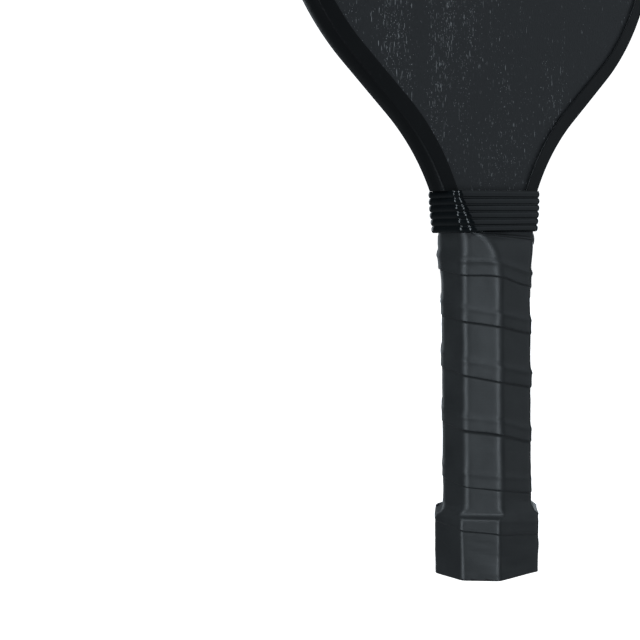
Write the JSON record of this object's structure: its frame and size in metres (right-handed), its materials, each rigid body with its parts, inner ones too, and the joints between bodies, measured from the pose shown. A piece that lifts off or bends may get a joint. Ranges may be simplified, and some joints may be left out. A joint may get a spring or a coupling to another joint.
{
  "type": "pickleball paddle",
  "caption": "Pickleball paddle: textured black face, moulded edge guard, ribbed rubber collar, octagonal handle wound with black grip tape and a flared butt.",
  "frame": {"origin": "centre of the butt end's flat face", "axes": "+Z along the handle from the butt end to the tip of the head, +X across the face, front face towards -Y"},
  "size_m": [0.188, 0.0328, 0.4],
  "materials": {
    "honeycomb": "translucent white polymer honeycomb",
    "face": "black fibre-reinforced sheet with a rough sprayed texture and bright upright flecks",
    "guard": "black moulded thermoplastic, satin, with light scuffs",
    "pallet": "sanded light wood",
    "cap": "black moulded plastic, fine spark-eroded grain",
    "staple": "bright steel wire",
    "grip": "black synthetic leather tape with a smooth tacky surface and fine grain",
    "band": "black vinyl finishing tape",
    "collar": "glossy black moulded rubber with rounded ribs"
  },
  "bodies": {
    "root": {"core": "honeycomb", "face_sheet_front": "face", "face_sheet_back": "face", "edge_guard": "guard", "handle_pallet_front": "pallet", "handle_pallet_back": "pallet", "butt_cap": "cap", "butt_staple_front": "staple", "butt_staple_back": "staple", "grip_tape": "grip", "finishing_tape": "band", "collar": "collar"}
  },
  "joints": []
}
